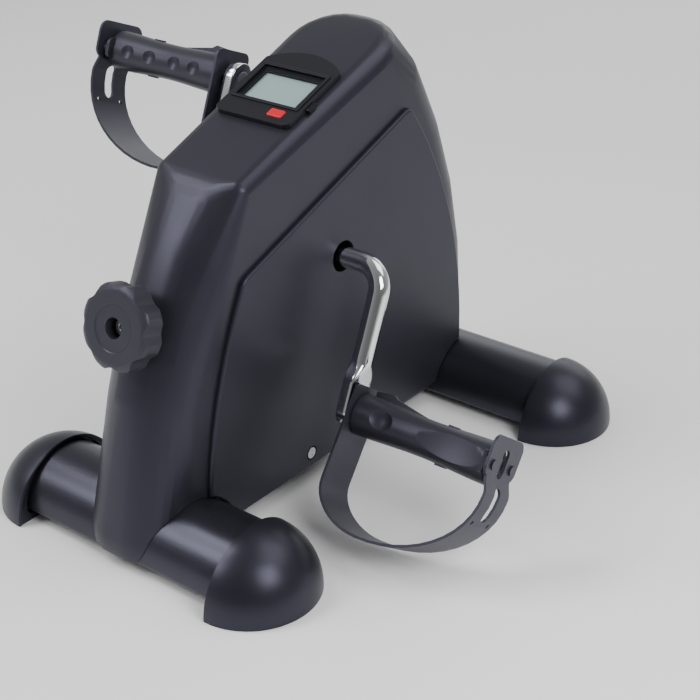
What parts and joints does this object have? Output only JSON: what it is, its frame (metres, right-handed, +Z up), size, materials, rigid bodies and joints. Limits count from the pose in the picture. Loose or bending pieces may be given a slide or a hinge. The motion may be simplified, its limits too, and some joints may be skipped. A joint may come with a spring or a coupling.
{
  "type": "pedal exerciser",
  "caption": "Free-standing pedal exerciser: arched casing on two half-round tubes, bent crank with strapped pedals, brake knob on the front column and a small counter on top.",
  "frame": {"origin": "on the floor, below the middle of the machine's bounding box", "axes": "+Z up, -Y towards the user with the knob, +X across to the right pedal"},
  "size_m": [0.418, 0.406, 0.3162],
  "materials": {
    "shell_plastic": "satin charcoal, fine grain",
    "cover_plastic": "satin charcoal, fine grain",
    "cap_plastic": "satin black, faint scuffs",
    "tube_paint": "satin black powder paint",
    "chrome_bar": "bright, faint polishing lines",
    "frame_steel": "dull grey primer",
    "zinc_steel": "zinc plated",
    "bronze_bush": "oiled bronze",
    "drum_iron": "turned rim",
    "felt": "woven felt",
    "pedal_plastic": "matte grain",
    "strap_rubber": "matte soft plastic",
    "knob_plastic": "satin black",
    "console_plastic": "semi-gloss black",
    "clear_window": "clear lens",
    "lcd": "grey-green liquid crystal panel",
    "red_key": "red moulded key",
    "board": "solder mask",
    "cell": "wrapped dry cell"
  },
  "bodies": {
    "base": {"spine_shell": "shell_plastic", "right_side_cover": "cover_plastic", "left_side_cover": "cover_plastic", "front_stabiliser_tube": "tube_paint", "rear_stabiliser_tube": "tube_paint", "front_right_end_cap": "cap_plastic", "front_left_end_cap": "cap_plastic", "rear_right_end_cap": "cap_plastic", "rear_left_end_cap": "cap_plastic", "base_beam": "frame_steel", "right_upright": "frame_steel", "left_upright": "frame_steel", "right_axle_bush": "bronze_bush", "left_axle_bush": "bronze_bush", "stabiliser_bolts": "zinc_steel", "stabiliser_nuts": "zinc_steel", "cover_screws": "zinc_steel", "brake_felt": "felt", "brake_band": "zinc_steel", "band_anchor_pin": "zinc_steel", "tension_guide": "frame_steel", "knob_collar": "knob_plastic", "console_case": "console_plastic", "console_back": "console_plastic", "lcd_window": "clear_window", "lcd_panel": "lcd", "console_board": "board", "battery": "cell", "reed_sensor": "knob_plastic"},
    "crank": {"crank_rod": "chrome_bar", "brake_drum": "drum_iron", "sensor_magnet": "zinc_steel", "right_pedal_spindle": "zinc_steel", "left_pedal_spindle": "zinc_steel", "right_spindle_nut": "zinc_steel", "left_spindle_nut": "zinc_steel"},
    "right_pedal": {"right_pedal_body": "pedal_plastic", "right_pedal_strap": "strap_rubber"},
    "left_pedal": {"left_pedal_body": "pedal_plastic", "left_pedal_strap": "strap_rubber"},
    "knob": {"tension_knob": "knob_plastic", "knob_screw": "zinc_steel", "tension_screw": "zinc_steel"},
    "tension_slide": {"tension_nut": "bronze_bush", "tension_spring": "zinc_steel"},
    "key": {"mode_button": "red_key"}
  },
  "joints": [
    {"name": "crank_spin", "type": "hinge", "parent": "base", "child": "crank", "pos_m": [0, 0.001, 0.1715], "axis": [1, 0, 0], "continuous": true},
    {"name": "right_pedal_spin", "type": "hinge", "parent": "crank", "child": "right_pedal", "pos_m": [0.145, -0.03793, 0.07798], "axis": [1, 0, 0], "continuous": true},
    {"name": "left_pedal_spin", "type": "hinge", "parent": "crank", "child": "left_pedal", "pos_m": [-0.145, 0.03993, 0.26502], "axis": [1, 0, 0], "continuous": true},
    {"name": "knob_turn", "type": "hinge", "parent": "base", "child": "knob", "pos_m": [0, -0.179, 0.17515], "axis": [0, -0.9613, 0.2756], "range_deg": [0, 1440]},
    {"name": "nut_slide", "type": "slide", "parent": "base", "child": "tension_slide", "axis": [0, -0.9613, 0.2756], "range_m": [0, 0.0051]},
    {"name": "key_press", "type": "slide", "parent": "base", "child": "key", "axis": [0, 0.3502, -0.9367], "range_m": [0, 0.001], "stiffness_N_per_m": 800}
  ],
  "couplings": [
    {"joint": "nut_slide", "follows": "knob_turn", "m_per_rad": 0.000199}
  ]
}
